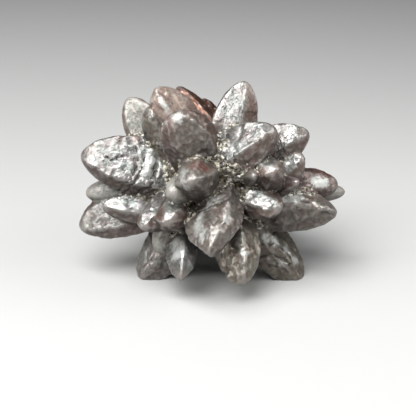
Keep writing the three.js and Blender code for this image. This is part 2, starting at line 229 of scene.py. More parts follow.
# Where crust spreads beyond the hollows.
CRUST_SPOTS = [
    ((-10.4, -5, 21.8), 3.4, -0.6),
    ((-8.8, -4.3, 25.2), 2.6, 0.5),
    ((-8, -5.1, 20.9), 2.2, 0.4),
    ((0.5, -4.3, 29.8), 2.2, 0.4),
    ((1.8, -9.3, 25.7), 2.4, 0.4),
    ((3, -10.1, 22.8), 2.4, 0.4),
    ((5.6, -11.7, 20.5), 1.8, 0.35),
    ((3.8, -10.1, 20.7), 2.2, 0.4),
    ((2.1, -10.7, 23), 1.8, 0.4),
    ((3.8, -11, 22.7), 1.6, 0.35),
    ((-10.6, -3.2, 25.2), 1.4, 0.35),
    ((-9.6, -5.3, 16.1), 2.6, 0.4),
    ((-11.1, -11.2, 15.8), 1.8, 0.35),
    ((-4.3, -12.3, 14.8), 2, 0.35),
    ((8.8, -11.3, 25.1), 1.8, 0.4),
    ((17.4, -3.3, 16.2), 2.8, 0.4),
    ((2.9, -6, 27.4), 2, 0.5),
    ((4.6, -8.3, 28), 1.6, 0.35),
    ((-0.1, -15.1, 21.8), 3, 0.4),
    ((-11.5, 11, 22), 2.6, 0.35),
    ((4, 14, 21), 2.8, 0.4),
    ((10, 9, 18), 2.6, 0.4),
]

# Where iron has stained the skin.
STAINS = [
    ((-17.3, -3, 25.7), 2.4, 0.2),
    ((-14.4, -2.6, 25.8), 2.4, 0.25),
    ((-2.2, -14.4, 24.4), 3.2, 2.4),
    ((6.4, -3.6, 30.2), 3.5, -0.4),
    ((0.8, -15.4, 18.6), 2.6, 0.55),
    ((2.2, -18.2, 15.4), 2.2, 0.6),
    ((19.5, 0, 18.8), 4, 1.0),
    ((17.6, -3.6, 15.6), 2.6, 0.8),
    ((11.4, -2.6, 26.8), 2.2, 0.8),
    ((15.6, -2.4, 26.6), 2, 0.6),
    ((-21, -3.6, 24.6), 2.2, 0.6),
    ((-5.3, -15.6, 5.2), 2.2, 0.7),
    ((-5, -2.5, 31), 3.4, 0.45),
    ((11.5, -9.5, 26), 2.4, 0.4),
    ((-10, -3, 25.5), 2.4, 0.8),
    ((-13.4, -2.7, 25.7), 2, 1.2),
    ((-16.4, -2.8, 25.7), 2, 1.1),
    ((-18.8, -3, 25.2), 1.8, 0.9),
    ((0.8, -4.9, 29), 2, 0.7),
    ((3, -5.2, 28.6), 1.8, 0.6),
    ((16, -3, 16.5), 2.4, 0.5),
    ((-2, 20, 21), 3.4, 0.6),
    ((13, 12, 22), 3, 0.5),
    ((-16, 11, 18), 3, 0.4),
]

# Spots of painted shade, darker than the rest of their crystal; below 0, spots of painted light.
PAINTED_SHADE_AND_LIGHT = [
    ((-20.3, -5, 22.9), 4.5, 0.25),
    ((-19.6, -3.8, 24.9), 1.6, 0.5),
    ((-16.4, -2.6, 26.1), 2.2, 0.8),
    ((-14.6, -2.4, 26.2), 2.2, 0.8),
    ((-12.8, -2.3, 26.2), 2.2, 0.8),
    ((-18.2, -2.9, 25.8), 2, 0.7),
    ((-11.3, -2.7, 25.9), 2, 0.6),
    ((-11.3, -4.8, 21.8), 4, -0.4),
    ((-13.8, 0.6, 28), 4, 0.3),
    ((-11.1, -3.6, 28.5), 4, 0.3),
    ((-19.6, -3.5, 10.6), 4, 0.25),
    ((-6.6, -11.5, 8.2), 4, -0.5),
    ((0.8, -12.8, 20), 3.5, -0.35),
    ((4, -3.5, 31.6), 5, 0.2),
    ((6.2, -3.6, 30.3), 2.5, -0.35),
    ((11.7, -2.3, 27), 1.8, 0.6),
    ((15.4, -2.6, 26.6), 2.2, 0.4),
    ((9.3, -12.8, 23.2), 3, -0.4),
    ((8.2, -12.5, 15.4), 2.5, -0.35),
    ((-20, 0.8, 14.6), 5, 0.2),
]

# Spots of painted highlight: pale patches where a face looks lit.
PAINTED_HIGHLIGHTS = [
    ((0.4, -13.6, 18.2), 1.8, 1),
    ((-0.9, -14.5, 17.2), 1.6, 1.3),
    ((-2.2, -14.8, 15.8), 1.8, 1),
    ((-2.7, -16.5, 14.6), 2.4, 1.2),
    ((-1.8, -19, 13.8), 2.2, 1.2),
    ((2.2, -17.9, 16), 1.4, 1),
    ((14.2, -4.9, 15.6), 2.2, 2.2),
    ((12.6, -6, 15.8), 1.6, 2),
    ((18.1, -2.4, 17.4), 1.6, 1.8),
    ((19.7, -2, 17), 1.5, 1.6),
    ((13.3, -4.7, 21.6), 2.4, 0.8),
    ((-9.4, -3.3, 33.2), 1.2, 0.5),
    ((-8.9, -3.6, 32.6), 1.2, 0.5),
    ((-8.6, -3.8, 32.1), 1.2, 0.5),
    ((-8.3, -4, 31.5), 1.2, 0.5),
    ((-7.9, -4.1, 31), 1.2, 0.5),
    ((-7.6, -4.2, 30.4), 1.2, 0.5),
    ((-5.8, -11.7, 31.6), 1.5, 1.2),
    ((5, -15.1, 9.2), 1.5, 0.7),
    ((4.2, -14, 10.2), 1.5, 0.7),
    ((9.2, -5.9, 8), 1.7, 0.9),
    ((11.2, -5.6, 7.4), 1.7, 1.3),
    ((13.2, -4.9, 5.7), 1.7, 1.3),
    ((14.7, -4.8, 3.6), 1.7, 1.2),
    ((11.8, -6.4, 3.6), 1.5, 0.6),
    ((-5.1, -15.6, 23.3), 3, 0.75),
    ((-4.4, -17, 22), 2, 0.8),
    ((-6.6, -10.4, 8.9), 2.2, 1.5),
    ((-6.4, -12.6, 7.6), 2, 1.4),
    ((-5.4, -12.9, 8.7), 2, 1.2),
    ((-11, -3.8, 23.4), 1.8, 1),
    ((-11.3, -4.8, 21.8), 2, 1.1),
    ((-11.6, -6, 20), 2, 1),
    ((-9.7, -4.6, 21.4), 1.8, 1.1),
    ((9.3, -12.8, 23.3), 1.6, 0.9),
    ((13.3, -2.5, 26.9), 1.8, 0.6),
    ((8.1, -11.4, 23.4), 1.8, 0.7),
    ((5.9, -10.3, 17.7), 1.8, 0.7),
    ((7.9, -11.5, 17.2), 1.8, 0.7),
    ((-14, 12, 20), 2.4, 0.7),
    ((6, 17, 17), 2.2, 0.7),
    ((12, 13, 11), 2.2, 0.7),
]

SIDE_STAIN = 0.6  # how stained the sides are beside a broad face
TIP_STAIN = 0.45  # how stained the tips are
TIP_START = 0.86  # where along a crystal its tip's stain begins
LAST_FACE_PLACE = 0.98  # how far along a crystal its face is told from its sides
FACE_BORDER = (-0.06, 0.08)  # how wide the border of a broad face is, in half-widths
SIDE_SHADE = np.array((0.24, 0.41, 0.47))  # how much painted shade, warm in tone, darkens those sides in red, green and blue
UNDER_SHADE = 0.45  # how much painted shade darkens the undersides
UNDER_SPAN = (-0.1, 0.7)  # how far down a face looks where that darkness begins and is whole
SUNK_SHADE = 0.3  # how much painted shade darkens the crystals' roots
SUNK_SPAN = (1.1, 1.7)  # where that darkness is whole and where it ends, in the core's radii
SHADE_LIMITS = (-0.5, 0.8)  # how much painted light and shade the spots in PAINTED_SHADE_AND_LIGHT can give the skin
DEEP_ROUNDS = 40  # rounds of averaging that find the deep hollows, and the fine ones
FINE_ROUNDS = 5
TINT_ROUNDS = 4  # rounds that blend the tints of neighbouring crystals
HOLLOW_SPAN = (0.005, 0.06)  # the depths between which a fine hollow is marked, in mm
EDGE_SPAN = (0.01, 0.07)  # the heights between which a fine ridge is; its painted highlight follows them
CRUST_SPREAD = 1.3  # how much further the crust's colour reaches than its grains
CORE_SPAN = (1.05, 1.5)  # where the painted shade on the crust is darkest and where it ends, in the core's radii
CORE_DEPTHS = (-0.1, 0.25)  # the depths between which that painted shade grows, in mm

# ---- noise

HASH_STEPS = (73856093, 19349663, 83492791)  # for x, y and z
HASH_SEED = 2654435
HASH_MIXES = ((15, 2246822519), (13, 3266489917))  # how far the bits move, and the factor
HASH_LAST_SHIFT = 16
LOW_32_BITS = 0xFFFFFFFF
LOW_24_BITS = 0xFFFFFF
LAYER_STEP = 7  # how far apart the seeds of two layers are
SWELL_STEP = 0.37  # how far each seed moves the swells, in sizes
PLATE_STEP = 0.61  # and the plates
CELL_MARGIN = 0.1  # how far a cell's middle stays from the cell's walls, as a share of its size


def shuffled(cells, seed):
    """A fixed random number from 0 to 1 for each whole-numbered cell."""
    x, y, z = (cells[..., axis] * step for axis, step in enumerate(HASH_STEPS))
    mixed = ((x ^ y ^ z ^ seed * HASH_SEED) & LOW_32_BITS).astype(np.uint64)
    for shift, factor in HASH_MIXES:
        mixed = (mixed ^ (mixed >> np.uint64(shift))) * np.uint64(factor) & np.uint64(LOW_32_BITS)
    mixed = mixed ^ (mixed >> np.uint64(HASH_LAST_SHIFT))
    return (mixed & np.uint64(LOW_24_BITS)).astype(float) / LOW_24_BITS


def eased(part):
    """0 to 1 made smooth at both ends."""
    return part * part * (3 - 2 * part)


def ramp(value, low, high):
    """0 below low, 1 above high, smooth between."""
    return eased(np.clip((value - low) / (high - low), 0, 1))


def swell(points, size, seed):
    """Smooth noise from -1 to 1, with lumps about as wide as size (a number, or one for each axis)."""
    scaled = points / np.asarray(size, float) + SWELL_STEP * seed
    base = np.floor(scaled).astype(np.int64)
    part = eased(scaled - base)
    total = np.zeros(len(points))
    for corner in product((0, 1), repeat=3):
        share = np.prod(np.where(corner, part, 1 - part), axis=1)
        total += share * shuffled(base + np.array(corner), seed)
    return 2 * total - 1


def layered(points, size, seed, layers=3):
    """Swells of halving size and strength, from about -1 to 1."""
    total, strength = np.zeros(len(points)), 1.0
    for layer in range(layers):
        total += strength * swell(points, np.asarray(size, float) / 2**layer, seed + LAYER_STEP * layer)
        strength /= 2
    return total / (2 - 2 ** (1 - layers))


def drift(points, size, seed):
    """A swell for each axis."""
    return np.stack([swell(points, size, seed + axis) for axis in range(3)], axis=1)


def plates(points, size, seed):
    """Scattered cells. For each point: how far it is from its cell's middle along each axis, the cell's
    number, how much nearer that middle is than the next one, and how far it is, all in the unit of size."""
    size = np.asarray(size, float) * np.ones(3)
    scaled = points / size + PLATE_STEP * seed
    base = np.floor(scaled).astype(np.int64)
    near = np.full(len(points), np.inf)
    second = np.full(len(points), np.inf)
    offset = np.zeros((len(points), 3))
    number = np.zeros((len(points), 3), np.int64)
    for step in product((-1, 0, 1), repeat=3):
        cell = base + np.array(step)
        random = np.stack([shuffled(cell, seed + k) for k in (1, 2, 3)], axis=1)
        gap = (scaled - (cell + CELL_MARGIN + (1 - 2 * CELL_MARGIN) * random)) * size
        far = np.sqrt((gap**2).sum(1))
        closer = far < near
        second = np.where(closer, near, np.minimum(second, far))
        near = np.where(closer, far, near)
        offset[closer] = gap[closer]
        number[closer] = cell[closer]
    return offset, number, second - near, near


def tilted_plates(points, size, lift, tilt, seed):
    """Plates that overlap like shingles: each is raised by up to half of lift and tilted its own way."""
    offset, number, edge, _ = plates(points, size, seed)
    up = shuffled(number, seed + 1) - 0.5
    lean = np.stack([shuffled(number, seed + 2 + k) - 0.5 for k in range(3)], axis=1)
    return (lift * up + tilt * (lean * offset).sum(1)) * ramp(edge, 0, PLATE_BEVEL)


def crease(points, size, seed):
    """1 along the bottom of winding creases, 0 between them."""
    return 1 - ramp(np.abs(layered(points, size, seed, 2)), 0, CREASE_WIDTH)


# ---- measuring a mesh


def read(items, name, width, kind=float):
    """One value of each of a mesh's items, as rows of that width."""
    values = np.empty(len(items) * width, kind)
    items.foreach_get(name, values)
    return values.reshape(-1, width)


def coordinates(mesh):
    return read(mesh.vertices, "co", 3)


def normals(mesh):
    return read(mesh.vertex_normals, "vector", 3, np.float32).astype(float)


def edge_ends(mesh):
    return read(mesh.edges, "vertices", 2, np.int64)


def move_to(mesh, points):
    mesh.vertices.foreach_set("co", points.ravel())
    mesh.update()


def averaged(values, ends, times):
    """Values at the vertices, averaged with their neighbours again and again."""
    count = len(values)
    neighbours = np.bincount(ends.ravel(), minlength=count)[:, None]
    values = values.reshape(count, -1)
    for _ in range(times):
        total = np.zeros_like(values)
        for k in range(values.shape[1]):
            total[:, k] = np.bincount(ends[:, 0], values[ends[:, 1], k], count)
            total[:, k] += np.bincount(ends[:, 1], values[ends[:, 0], k], count)
        values = 0.5 * values + 0.5 * total / neighbours
    return values


def hollowness(mesh, ends, times):
    """How deep each vertex lies below its surroundings, in mm; negative on a ridge."""
    points = coordinates(mesh)
    return ((averaged(points, ends, times) - points) * normals(mesh)).sum(1)


# ---- a crystal


def section(habit, shift):
    """The corners of a crystal's six-sided section, in shares of its half-width and thickness."""
    flat, rise = habit["flat"], habit["rise"]
    return np.array(
        [
            (1, 0),
            (flat, rise - 1),
            (-flat, rise - 1),
            (-1, 0),
            (shift - flat, rise),
            (shift + flat, rise),
        ]
    )


def fullness(habit, place):
    """The shares of its full width and thickness that a crystal has at a place along it."""
    rising = np.sin(np.minimum(place / habit["belly"], 1) * math.pi / 2)
    falling = np.clip((place - habit["belly"]) / (1 - habit["belly"]), 0, 1)
    width = (habit["neck"] + (1 - habit["neck"]) * rising) * (1 - falling**2) ** habit["blunt"]
    thickness = (1 - habit["slope"] * falling) * np.sqrt(1 - falling**FACE_FLATNESS)
    return width, thickness


def stance(crystal):
    """A crystal's start, its length and its own axes: along, across and outward."""
    start = Vector(crystal[1])
    along = Vector(crystal[2]) - start
    length = along.length
    along.normalize()
    across = along.cross(Vector(crystal[5])).normalized()
    return np.array(start), length, np.array([along, across, across.cross(along)])


def rib_marks(local, habit, length, wide, seed):
    """How far past the nearest cross-rib each point lies, in mm (far off where there is none)."""
    along, across = local[:, 0], local[:, 1] / (wide / 2)
    sway = sum(reach * swell(local, size, seed + step) for reach, size, step in RIB_SWAYS)
    reach = along + habit["bow"] * wide * across**2 + sway
    nearest = np.full(len(local), FAR)
    for i, rib in enumerate(habit["ribs"]):
        past = reach - rib * length - RIB_SHIFT * math.sin(RIB_SHIFT_STEP * i + seed)
        nearest = np.where(np.abs(past) < np.abs(nearest), past, nearest)
    size, level, step = RIB_BREAK
    return np.where(swell(local, size, seed + step) > level, nearest, FAR)


def beside_face(local, habit, shift, length, wide):
    """1 on the sides of a crystal that has a broad face, 0 on that face."""
    if habit["flat"] < LEAST_FACE:
        return np.zeros(len(local))
    width, _ = fullness(habit, np.clip(local[:, 0] / length, 0, LAST_FACE_PLACE))
    away = np.abs(local[:, 1] / (wide / 2 * width) - shift) - habit["flat"]
    return np.where(local[:, 2] > 0, ramp(away, *FACE_BORDER), 1.0)


def growth(local, habit, length, wide, seed):
    """How far each point of a crystal's skin stands out or in. local holds the points' places along, across
    and outward, in mm from the root."""
    deep, size = SWELLS
    spacing, step = PLATE_WANDER
    wander = drift(local, spacing, seed + step)
    depth = deep * layered(local, size, seed, 2)
    for sway, size, lift, tilt, step in PLATE_LAYERS:
        depth += tilted_plates(local + sway * wander, size, lift, tilt, seed + step)
    for deep, size, step in CREASE_LAYERS:
        depth -= deep * crease(local, size, seed + step)
    past = rib_marks(local, habit, length, wide, seed)
    depth -= RIB_DEPTH * ramp(past, -RIB_DROP, 0) * (1 - ramp(past, 0, RIB_RISE))
    deep, size, step = DENTS
    depth += deep * layered(local, size, seed + step, 2)
    depth -= PIT_DEPTH * pits(local, seed)
    return depth * habit["relief"] * min(1, wide / FULL_RELIEF)


def pits(local, seed):
    """1 at the bottom of a pit, 0 outside."""
    _, cell, _, far = plates(local, PIT_SPACING, seed + PIT_SEED)
    return (shuffled(cell, seed + PIT_SEED + 1) > PITTED) * (1 - ramp(far, *PIT_RADII))


def as_mesh(shape, name):
    mesh = bpy.data.meshes.new(name)
    shape.to_mesh(mesh)
    shape.free()
    return mesh


def bare_column(name):
    """An upright six-sided column, one unit wide and high, divided into rings."""
    column = bmesh.new()
    bmesh.ops.create_cone(
        column, cap_ends=True, segments=SECTION_CORNERS * SIDES_PER_FACE, radius1=1, radius2=1, depth=1
    )
    uprights = [edge for edge in column.edges if abs(edge.verts[0].co.z - edge.verts[1].co.z) > 0.5]
    bmesh.ops.subdivide_edges(column, edges=uprights, cuts=RINGS)
    return as_mesh(column, name)


def in_crystal(unit, crystal, length):
    """Where the column's points lie in the crystal: their places along it, and those along, across and
    outward in mm."""
    _, _, _, wide, thick, _, habit, shift, _ = crystal
    corners = section(habit, shift)
    turn = (np.arctan2(unit[:, 1], unit[:, 0]) / (2 * math.pi)) % 1 * SECTION_CORNERS
    side = np.floor(turn + 1e-6).astype(int)
    part = (turn - side)[:, None]
    flat = corners[side % SECTION_CORNERS] * (1 - part) + corners[(side + 1) % SECTION_CORNERS] * part
    # rings crowd towards the tip, where the outline turns
    place = TIP_PLACE * np.sin((unit[:, 2] + 0.5) * math.pi / 2)
    width, thickness = fullness(habit, place)
    across = width * flat[:, 0] * wide / 2
    return place, np.stack([place * length, across, thickness * flat[:, 1] * thick], axis=1)


def wear(mesh, times):
    """Turns the faces outward and rounds the edges."""
    shape = bmesh.new()
    shape.from_mesh(mesh)
    bmesh.ops.recalc_face_normals(shape, faces=shape.faces)
    for _ in range(times):
        bmesh.ops.smooth_vert(
            shape, verts=shape.verts, factor=0.5, use_axis_x=True, use_axis_y=True, use_axis_z=True
        )
    shape.to_mesh(mesh)
    shape.free()


def grow_crystal(stone, crystal, seed):
    """Adds one crystal to the stone: a six-sided column pressed into its outline, with its relief.
    Returns its points."""
    start, length, axes = stance(crystal)
    habit, wide = crystal[6], crystal[3]
    mesh = bare_column(crystal[0])
    place, local = in_crystal(coordinates(mesh), crystal, length)
    move_to(mesh, start + local @ axes)
    wear(mesh, habit["worn"])

    calm = 1 - TIP_CALM * ramp(place, *TIP_CALM_SPAN)
    relief = growth(local, habit, length, wide, seed)
    points = coordinates(mesh) + normals(mesh) * (relief * calm)[:, None]
    move_to(mesh, points)
    stone.from_mesh(mesh)
    bpy.data.meshes.remove(mesh)
    return points


# ---- the whole stone


def grow_core(stone):
    """The lumpy ball of crystal bases."""
    made = bmesh.ops.create_icosphere(stone, subdivisions=CORE_SUBDIVISIONS, radius=1)
    for vertex in made["verts"]:
        place = vertex.co
        waves = zip(place, CORE_WAVES)
        lump = math.prod(math.sin(tight * along + shift) for along, (tight, shift) in waves)
        place *= 1 + CORE_LUMP / CORE_RADII.x * lump
        vertex.co = Vector(share * radius for share, radius in zip(place, CORE_RADII)) + CORE_CENTRE


def added(name, data):
    """A new object in the scene."""
    thing = bpy.data.objects.new(name, data)
    bpy.context.scene.collection.objects.link(thing)
    return thing


def modified(mesh, kind, **settings):
    """The mesh with one modifier applied."""
    holder = added("modified", mesh)
    modifier = holder.modifiers.new("change", kind)
    for key, value in settings.items():
        setattr(modifier, key, value)
    bpy.context.view_layer.update()
    depsgraph = bpy.context.evaluated_depsgraph_get()
    result = bpy.data.meshes.new_from_object(holder.evaluated_get(depsgraph))
    bpy.data.objects.remove(holder)
    return result


def thinned(mesh, triangles):
    """The same skin with no more triangles than that, fewest where it is flattest."""
    mesh.calc_loop_triangles()
    return modified(mesh, "DECIMATE", ratio=min(1, triangles / len(mesh.loop_triangles)))


def build_stone():
    stone = bmesh.new()
    grow_core(stone)
    skins = [grow_crystal(stone, crystal, SEED_STEP * i) for i, crystal in enumerate(CRYSTALS)]
    mesh = as_mesh(stone, "stone")
    mesh = modified(mesh, "REMESH", mode="VOXEL", voxel_size=FUSE)
    cut_grooves(mesh)
    lay_crust(mesh)
    mesh = thinned(mesh, MOST_TRIANGLES)
    record_skin(mesh, skins)
    return mesh


def sunk(points, near, far):
    """1 nearer than near to the core's middle, 0 beyond far, both in shares of the core's radii."""
    away = (points - np.array(CORE_CENTRE)) / np.array(CORE_RADII)
    return 1 - ramp(np.linalg.norm(away, axis=1), near, far)


def spotted(points, spots):
    """The strengths of the spots at each point, each fading to nothing at its radius."""
    total = np.zeros(len(points))
    for place, radius, strength in spots:
        total += strength * (1 - ramp(np.linalg.norm(points - np.array(place), axis=1), 0, radius))
    return total


def groove_distance(points):
    """How far each point is from the nearest groove, in mm."""
    sway, size, seed = GROOVE_SWAY
    swayed = points + sway * drift(points, size, seed)
    nearest = np.full(len(points), FAR)
    for groove in GROOVES:
        for start, end in zip(groove, groove[1:]):
            start, way = np.array(start), np.array(end) - np.array(start)
            part = np.clip((swayed - start) @ way / (way @ way), 0, 1)
            away = np.linalg.norm(swayed - start - part[:, None] * way, axis=1)
            nearest = np.minimum(nearest, away)
    return nearest


def cut_grooves(mesh):
    """Sinks the long grooves into the skin."""
    points = coordinates(mesh)
    depth = GROOVE_DEPTH * (1 - ramp(groove_distance(points), *GROOVE_RADII))
    move_to(mesh, points - normals(mesh) * depth[:, None])


def crust_cover(points, deep):
    """Where the crust lies, from 0 to 1: in the hollows where crystals meet, thicker near the core."""
    spread, size, seed = CRUST_SWELLS
    nearness, near, far = CRUST_CORE
    cover = deep + spread * layered(points, size, seed, 3) + nearness * sunk(points, near, far)
    cover += spotted(points, CRUST_SPOTS)
    return ramp(cover, *CRUST_EDGE)


def lay_crust(mesh):
    """Fills the hollows between the crystals with grains."""
    points = coordinates(mesh)
    crust = crust_cover(points, hollowness(mesh, edge_ends(mesh), CRUST_REACH))
    _, number, _, far = plates(points, CRUST_GRAIN, GRAIN_SEED)
    large = LEAST_GRAIN + (1 - LEAST_GRAIN) * shuffled(number, GRAIN_SEED + 1)
    grains = large * np.sqrt(np.clip(1 - (far / GRAIN_RADIUS) ** 2, 0, 1))
    bed, grain, lumps = CRUST_RISE
    size, seed = CRUST_LUMPS
    rise = bed + grain * grains + lumps * layered(points, size, seed, 2)
    points += normals(mesh) * (crust * rise)[:, None]
    points[:, 2] = np.maximum(points[:, 2], 0)
    move_to(mesh, points)


# ---- what the finish needs to know


def nearest_crystal(points, skins):
    """The number of the crystal that each point belongs to."""
    tree = KDTree(sum(len(skin) for skin in skins))
    owners = np.repeat(np.arange(len(skins)), [len(skin) for skin in skins])
    for index, point in enumerate(np.concatenate(skins)):
        tree.insert(point, index)
    tree.balance()
    return owners[np.array([tree.find(point)[1] for point in points])]


def survey(points, owner):
    """Each point's place in its own crystal, how far it is from a rib or groove, and how much it is a side
    or a tip."""
    place = np.zeros((len(points), 3))
    ribs = groove_distance(points)
    sides, tips = np.zeros(len(points)), np.zeros(len(points))
    for number, crystal in enumerate(CRYSTALS):
        own = owner == number
        wide, habit, shift = crystal[3], crystal[6], crystal[7]
        start, length, axes = stance(crystal)
        place[own] = (points[own] - start) @ axes.T
        marks = rib_marks(place[own], habit, length, wide, SEED_STEP * number)
        ribs[own] = np.minimum(ribs[own], np.abs(marks))
        sides[own] = beside_face(place[own], habit, shift, length, wide)
        tips[own] = ramp(place[own][:, 0] / length, TIP_START, 1.0)
    return place, ribs, sides, tips


def shaded(mesh, points, colours, sides):
    """Paints shade onto the undersides, the roots and the sides, and paints shade and light at the spots.
    """
    under = UNDER_SHADE * ramp(-normals(mesh)[:, 2], *UNDER_SPAN)
    colours *= ((1 - under) * (1 - SUNK_SHADE * sunk(points, *SUNK_SPAN)))[:, None]
    colours *= 1 - SIDE_SHADE * sides[:, None]
    # painted shade at the spots, and painted light where a spot is below 0
    colours *= 1 - np.clip(spotted(points, PAINTED_SHADE_AND_LIGHT), *SHADE_LIMITS)[:, None]
    return colours


def record_skin(mesh, skins):
    """Writes onto the skin what the finish needs: each point's place in its own crystal, its tint with
    painted shade in it, how hollow, stained and crusted it is, and where it gets a painted highlight on its
    fine ridges and at its spots."""
    points = coordinates(mesh)
    ends = edge_ends(mesh)
    owner = nearest_crystal(points, skins)
    place, ribs, sides, tips = survey(points, owner)
    stain = spotted(points, STAINS) + SIDE_STAIN * sides + TIP_STAIN * tips
    deep = hollowness(mesh, ends, DEEP_ROUNDS)
    fine = hollowness(mesh, ends, FINE_ROUNDS)
    tints = [TINTS[crystal[-1]] for crystal in CRYSTALS]
    metals = np.array([metal for _, metal in tints])[owner]
    colours = shaded(mesh, points, np.array([colour for colour, _ in tints])[owner], sides)
    mask(mesh, "metal", averaged(metals, ends, TINT_ROUNDS)[:, 0])
    # where the crust gets painted shade, deep among the crystals near the core
    mask(mesh, "sunk", sunk(points, *CORE_SPAN) * ramp(deep, *CORE_DEPTHS))
    mask(mesh, "crust", averaged(crust_cover(points, deep * CRUST_SPREAD), ends, 1)[:, 0])
    mask(mesh, "hollow", ramp(fine, *HOLLOW_SPAN))
    # where the fine ridges get a painted highlight
    mask(mesh, "edge", ramp(-fine, *EDGE_SPAN))
    mask(mesh, "stain", averaged(stain, ends, 1)[:, 0])
    # painted highlights at the spots
    mask(mesh, "painted_highlight", spotted(points, PAINTED_HIGHLIGHTS))
    mask(mesh, "rib", ribs)
    tint_with_painted_shade = mesh.attributes.new("tint_with_painted_shade", "FLOAT_COLOR", "POINT")
    tinted = np.column_stack([averaged(colours, ends, TINT_ROUNDS), np.ones(len(points))])
    tint_with_painted_shade.data.foreach_set("color", tinted.astype(np.float32).ravel())
    grain = mesh.attributes.new("grain", "FLOAT_VECTOR", "POINT")
    grain.data.foreach_set("vector", place.astype(np.float32).ravel())


def mask(mesh, name, values):
    attribute = mesh.attributes.new(name, "FLOAT", "POINT")
    attribute.data.foreach_set("value", values.astype(np.float32))


# ---- materials


class Nodes:
    """Makes and joins the nodes of one material."""

    def __init__(self, tree):
        self.tree = tree

    def add(self, kind, values=(), group=None, **settings):
        node = self.tree.nodes.new("ShaderNode" + kind)
        if group:
            node.node_tree = group
        for key, value in settings.items():
            setattr(node, key, value)
        for socket, value in dict(values).items():
            if isinstance(value, bpy.types.NodeSocket):
                self.tree.links.new(value, node.inputs[socket])
            else:
                node.inputs[socket].default_value = value
        return node

    def mask(self, name):
        return self.add("Attribute", attribute_name=name).outputs["Fac"]

    def choose(self, share, one, other):
        return self.add("Mix", {0: share, 2: one, 3: other}).outputs[0]

    def mix(self, share, one, other):
        return self.add("Mix", {0: share, 6: one, 7: other}, data_type="RGBA").outputs[2]

    def multiply(self, colour, other, share=1):
        node = self.add("Mix", {0: share, 6: colour, 7: other}, data_type="RGBA", blend_type="MULTIPLY")
        return node.outputs[2]

    def number(self, operation, one, other=0.5, third=0.5):
        node = self.add("Math", {0: one, 1: other, 2: third}, operation=operation)
        return node.outputs[0]

    def covered(self, colour, where, layer):
        """The colour with a layer over it, which shows most where its mask is 1."""
        share, other = layer
        return self.mix(self.times(where, share), colour, other)

    def times(self, one, other):
        return self.number("MULTIPLY", one, other)

    def plus(self, one, other):
        return self.number("ADD", one, other)

    def span(self, value, low, high, to_low=0.0, to_high=1.0):
        node = self.add("MapRange", {0: value, 1: low, 2: high, 3: to_low, 4: to_high})
        return node.outputs[0]

    def noise(self, place, scale, detail=4, roughness=0.55, distortion=0):
        values = {"Vector": place, "Scale": scale, "Detail": detail, "Roughness": roughness}
        return self.add("TexNoise", {**values, "Distortion": distortion}).outputs["Fac"]

    def ragged(self, value, place, noise, shifts):
        """The value shifted up and down by noise, so that its borders are uneven. shifts holds the two ends
        of the noise's range and the shift that each of them gives."""
        return self.plus(value, self.span(self.noise(place, *noise), *shifts))


# Noises: scale, detail, roughness and, if any, distortion. Scales are in features a metre, or a millimetre
# where a noise follows the grain.
BEND = (0.9, 0.9, 0.9)  # how far the grain bends, in mm
BEND_SCALE = 1.3
BEND_DETAIL = 3.0
STRETCH = (0.55, 1, 1)  # features are longer along the crystal
LINE_NOISE = (0.9, 1, 0.4, 0.4)
DENT_NOISE = (1100, 1, 0.4)
FOLD_NOISE = (1.5, 3, 0.55, 0.6)
WRINKLE_BREAK = (650, 2)
BLOTCH_NOISE = (420, 5, 0.62)
CRUST_CLOUD_NOISE = (420, 3, 0.6)
PAINTED_HIGHLIGHT_NOISE = (1300, 5, 0.7)
RIB_NOISE = (1400, 3)
RIB_BREAK_NOISE = (500, 2)
CRUST_NOISE = (1900, 3)
SATIN_NOISE = (900, 2, 0.5)
GRAIN_SCALE = 2300.0
# Heights of the fine relief, in steps of BUMP_DISTANCE metres.
BUMP_DISTANCE = 0.00005
LINE_HEIGHT = 2.2
GROOVE_HEIGHT = 0.3
DENT_HEIGHT = 0.5
WRINKLE_DEPTH = 0.85
RIB_LINE_DEPTH = 3.5
GRAIN_HEIGHT = 4.0
# Bands: the values between which something goes from nothing to whole, or back.
PLATE_GROOVE_BAND = (0.0, 0.12)
WRINKLE_BAND = (0.004, 0.022)
GRAIN_BAND = (0.0, 0.7)
GLINT_BAND = (0.95, 0.96)
SATIN_BAND = (0.3, 0.7)
CLOUD_BAND = (0.35, 0.65)
CRUST_CLOUD_BAND = (0.35, 0.62)
WRINKLE_BREAK_BAND = (0.44, 0.54)
RIB_LINE_BAND = (0.1, 0.24)  # mm from the rib
RIB_BREAK_BAND = (0.36, 0.46)
BLOTCH_BAND = (0.54, 0.68)
STAIN_BLOTCH_BAND = (0.3, 0.55)
RED_BAND = (0.85, 1.3)
PAINTED_HIGHLIGHT_BAND = (0.25, 0.95)
THICK_BAND = (1.0, 2.0)
CRUST_BAND = (0.4, 0.6)
# Shifts: the ends of a noise's range, and how far each moves the border that it makes uneven.
RIB_SHIFTS = (0.3, 0.7, -0.18, 0.18)
PAINTED_HIGHLIGHT_SHIFTS = (0.35, 0.65, -0.4, 0.4)
CRUST_SHIFTS = (0.3, 0.7, -0.3, 0.3)

# Colours, all linear. The film over the skin is three layers of cloud: noise scale, detail and roughness,
# and its darkest and lightest factors.
FILM_LAYERS = (
    (260, 3, 0.55, (0.86, 0.81, 0.79, 1), (1.1, 1.13, 1.13, 1)),
    (750, 3, 0.55, (1.03, 0.96, 0.99, 1), (0.96, 1.04, 1.02, 1)),
    (2000, 2, 0.6, (0.76, 0.73, 0.7, 1), (1.16, 1.16, 1.16, 1)),
)
BROWN_FILM = (0.69, 0.53, 0.45, 1)  # a factor
CRUST_PAINTED_SHADE = (0.58, 0.55, 0.5, 1)  # a factor of painted shade for the crust deep near the core
BLOTCH_STRENGTH = 0.45
STAIN_STRENGTH = (0.5, 1.4)  # between its blotches and in them
RED_IRON = (0.1, 0.034, 0.022, 1)
THIN_PAINTED_HIGHLIGHT = (0.46, 0.46, 0.44, 1)
THICK_PAINTED_HIGHLIGHT = (0.7, 0.7, 0.67, 1)
PAINTED_HIGHLIGHT_SHARE = 0.75  # how much of the painted highlight shows where it is whole
